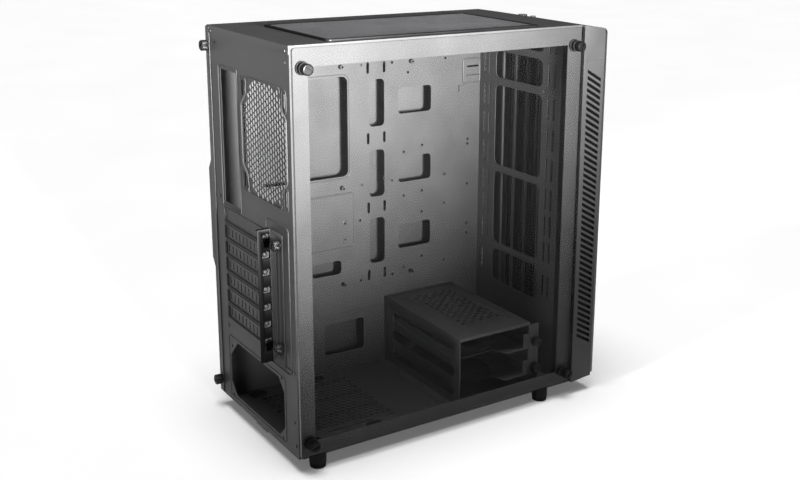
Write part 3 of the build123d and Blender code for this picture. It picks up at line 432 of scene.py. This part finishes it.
# ---------------------------------------------------------------- feet and rubber
for x_name, x in (("left", -FOOT_X), ("right", FOOT_X)):
    for y_name, y in (("rear", FOOT_Y), ("front", -FOOT_Y)):
        bm = bmesh.new()
        profile = [(8.2, 0.0), (8.8, 0.25), (9.3, 1.2), (9.35, 3.4), (8.7, 3.7), (8.7, 4.3), (9.5, 4.7),
                   (9.9, 6.0), (9.95, 15.5), (9.6, 17.2), (8.9, 18.0)]
        add_lathe(bm, profile, 48, turn((x, y, 0.0), (0, 0, 1)))
        name = f"foot_{y_name}_{x_name}"
        piece(name + "_turned", to_mesh(bm, name), "chassis", "rubber", (name,))

bm = bmesh.new()
for x in PAD_X:
    for y in PAD_Y:
        oval = rounded(x - 6.0, x + 6.0, y - 10.0, y + 10.0, 5.9, 8)
        add_prism(bm, oval, FLOOR_TOP, FLOOR_TOP + 2.6, Matrix.Identity(4), inset=0.7)
piece("supply_pads_domed", to_mesh(bm, "supply_pads"), "chassis", "rubber", ("supply_pads",))

# ---------------------------------------------------------------- woven filter
def strands(bm, x_range, y_range, level, pitch, wire):
    """Level grid of fine strands; the two directions lie one over the other."""
    for index in range(int((x_range[1] - x_range[0]) / pitch)):
        x = x_range[0] + index * pitch
        add_box(bm, (x, y_range[0], level), (x + wire, y_range[1], level + wire))
    for index in range(int((y_range[1] - y_range[0]) / pitch)):
        y = y_range[0] + index * pitch
        add_box(bm, (x_range[0], y, level + wire), (x_range[1], y + wire, level + 2 * wire))


bm = bmesh.new()
strands(bm, (-92.0, 56.5), (-138.0, 134.5), 480.8, 1.7, 0.5)
piece("top_filter_weave", to_mesh(bm, "top_filter_weave"), "top_filter", "filter_mesh",
      ("top_filter_mesh",))
for side_name, side in (("left", -1), ("right", 1)):
    bm = bmesh.new()
    (y0, y1), (z0, z1) = GAUZE_Y, GAUZE_Z
    outer, inner = side * 108.6, side * 108.1
    for index in range(GAUZE_COLUMNS):
        y = y0 + index * GAUZE_PITCH
        add_box(bm, (outer - 0.3, y, z0), (outer + 0.3, y + GAUZE_WIRE, z1))
    for index in range(GAUZE_ROWS):
        z = z0 + index * GAUZE_PITCH
        add_box(bm, (inner - 0.3, y0, z), (inner + 0.3, y1, z + GAUZE_WIRE))
    piece(f"vent_gauze_{side_name}", to_mesh(bm, "vent_gauze"), "bezel", "black_fastener")
bm = bmesh.new()
strands(bm, (-63.0, 65.0), (REAR - 155.0, REAR - 6.0), 15.0, 1.28, 0.55)
piece("supply_filter_weave", to_mesh(bm, "supply_filter_weave"), "supply_filter", "filter_mesh")

# ---------------------------------------------------------------- rolled edges of sheet and moulded parts
for node_name in ("drive_cage", "cage_flange", "drive_sled_lower", "drive_sled_upper", "slot_bracket",
                  "steel_side_panel", "steel_panel_grip", "supply_filter", "slot_shelf"):
    soften(node_name, 0.3)
soften("top_filter_frame", 0.3, slot="black_fastener")
for node_name in ("power_button", "reset_button", "usb_sockets", "audio_jacks", "front_switches",
                  "filter_rails"):
    soften(node_name, 0.2)
soften("front_bezel", 0.9, 3)
soften("front_glass", 0.8, 3)
soften("glass_side_panel", 0.5, 3)

# ---------------------------------------------------------------- pressed ridges
def rounded_path(points, radius, steps=4):
    """Closed outline with its corners rounded."""
    path = []
    count = len(points)
    for index, corner in enumerate(points):
        here = Vector(corner)
        to_last = Vector(points[index - 1]) - here
        to_next = Vector(points[(index + 1) % count]) - here
        reach = radius * math.tan((math.pi - to_last.angle(to_next)) / 2)
        start = here + to_last.normalized() * reach
        end = here + to_next.normalized() * reach
        for step in range(steps + 1):
            t = step / steps
            path.append(tuple(start * (1 - t) ** 2 + here * 2 * t * (1 - t) + end * t ** 2))
    return path


bm = bmesh.new()
fan = [(43.5, -66.0), (43.5, -47.5), (57.0, -34.0), (57.0, 34.0), (43.5, 47.5), (43.5, 66.0)]
ring = rounded_path(fan + [(-u, -v) for u, v in fan], 5.0)
add_tube(bm, [(FAN_X + u, REAR + 0.1, FAN_Z + v) for u, v in ring], 1.0, closed=True)
for side in (-1, 1):
    for end in (-1, 1):
        u, v = FAN_X + side * FAN_HOLE, FAN_Z + end * FAN_HOLE
        pill = rounded(u - 5.2, u + 5.2, v - 13.0, v + 13.0, 5.0)
        add_tube(bm, [(a, REAR - 0.1, b) for a, b in pill], 0.7, closed=True)
io = rounded(28.05, 80.5, 270.5, 437.25, 2.0)
add_tube(bm, [(u, REAR, v) for u, v in io], 0.8, closed=True)
for index in range(SLOT_COUNT):
    z = SLOT_TOP_Z - SLOT_PITCH * index
    frame_line = rounded(-44.5, 77.6, z - 8.9, z + 8.9, 2.0)
    add_tube(bm, [(u, REAR + 0.3, v) for u, v in frame_line], 1.0, closed=True)
plate = rounded(-93.5, -38.0, 114.0, 283.0, 5.0)
add_tube(bm, [(u, REAR + 0.05, v) for u, v in plate], 0.9, closed=True)
add_tube(bm, [(-94.0, REAR + 0.2, 119.8), (-81.0, REAR + 0.2, 119.8)], 1.4, sides=12)
supply = rounded(-75.5, 80.5, 25.5, 104.5, 4.0)
add_tube(bm, [(u, REAR, v) for u, v in supply], 0.7, closed=True)
piece("rear_ridges", to_mesh(bm, "rear_ridges"), "chassis", "chassis_steel")

bm = bmesh.new()
for line, radius in ((rounded(REAR - 178.5, REAR - 40.0, 186.5, 258.0, 4.0), 1.2),
                     (rounded(REAR - 169.0, REAR - 162.0, 193.5, 222.5, 3.4), 0.9),
                     (rounded(-186.8, REAR - 347.0, 386.0, 418.0, 3.0), 1.0),
                     (rounded(REAR - 174.0, REAR - 49.5, 278.5, 411.5, 9.0), 0.7)):
    add_tube(bm, [(TRAY_X - 0.6, u, v) for u, v in line], radius, closed=True)
piece("tray_ridges", to_mesh(bm, "tray_ridges"), "chassis", "chassis_steel")

# ---------------------------------------------------------------- studio
def studio_floor():
    """Wide pale floor that glows a little, so that it stays white."""
    material, tree, bsdf, coords = shader("studio_floor")
    grain = noise(tree, coords, 3.0, 3.0)
    tree.links.new(tint(tree, grain, (0.90, 0.90, 0.90), (0.93, 0.93, 0.93)), bsdf.inputs["Base Color"])
    tree.links.new(spread(tree, grain, 0.80, 0.90), bsdf.inputs["Roughness"])
    bsdf.inputs["Specular IOR Level"].default_value = 0.2
    bsdf.inputs["Emission Color"].default_value = (1.0, 1.0, 1.0, 1)
    bsdf.inputs["Emission Strength"].default_value = 0.12
    bm = bmesh.new()
    bmesh.ops.create_grid(bm, x_segments=8, y_segments=8, size=40.0)
    floor = bpy.data.objects.new("studio_floor", to_mesh(bm, "studio_floor"))
    bpy.context.scene.collection.objects.link(floor)
    floor.data.materials.append(material)


def add_light(name, light, aim, place=(0.0, 0.0, 0.0)):
    """Puts a light in the scene, pointing along aim."""
    thing = bpy.data.objects.new(name, light)
    thing.location = place
    thing.rotation_euler = Vector(aim).to_track_quat("-Z", "Y").to_euler()
    bpy.context.scene.collection.objects.link(thing)


def soft_spot(name, place, target, radius, power, spread_degrees):
    """A spot whose edge fades all the way in."""
    light = bpy.data.lights.new(name, "SPOT")
    light.energy = power
    light.shadow_soft_size = radius
    light.spot_size, light.spot_blend = math.radians(spread_degrees), 1.0
    add_light(name, light, Vector(target) - Vector(place), place)


studio_floor()
world = bpy.data.worlds.new("studio")
world.use_nodes = True
world.node_tree.nodes["Background"].inputs["Color"].default_value = (1.0, 1.0, 1.0, 1)
world.node_tree.nodes["Background"].inputs["Strength"].default_value = 0.08
bpy.context.scene.world = world
bpy.context.scene.view_settings.view_transform = "Standard"
sun = bpy.data.lights.new("overhead", "SUN")
sun.energy = 2.8
sun.angle = math.radians(32)
add_light("overhead", sun, (0.08, -0.08, -1.0))
soft_spot("side_glow", (-1.72, 0.20, 0.52), (0.085, 0.10, 0.60), 0.14, 2400.0, 33.0)
soft_spot("rear_glow", (-0.3, 1.9, 1.15), (0.0, 0.187, 0.62), 0.25, 330.0, 26.0)

camera = bpy.data.cameras.new("camera")
camera.sensor_width = 36.0
camera.lens = 50.328
camera.shift_x, camera.shift_y = -0.0652, -0.0676
view = bpy.data.objects.new("camera", camera)
azimuth, elevation, roll = math.radians(235.73), math.radians(14.68), math.radians(0.68)
back = Vector((math.sin(azimuth) * math.cos(elevation), -math.cos(azimuth) * math.cos(elevation),
               math.sin(elevation)))
view.rotation_mode = "QUATERNION"
view.rotation_quaternion = (-back).to_track_quat("-Z", "Y") @ Matrix.Rotation(roll, 4, "Z").to_quaternion()
view.location = (-1.1314, 0.6841, 0.6313)
bpy.context.scene.collection.objects.link(view)
bpy.context.scene.camera = view
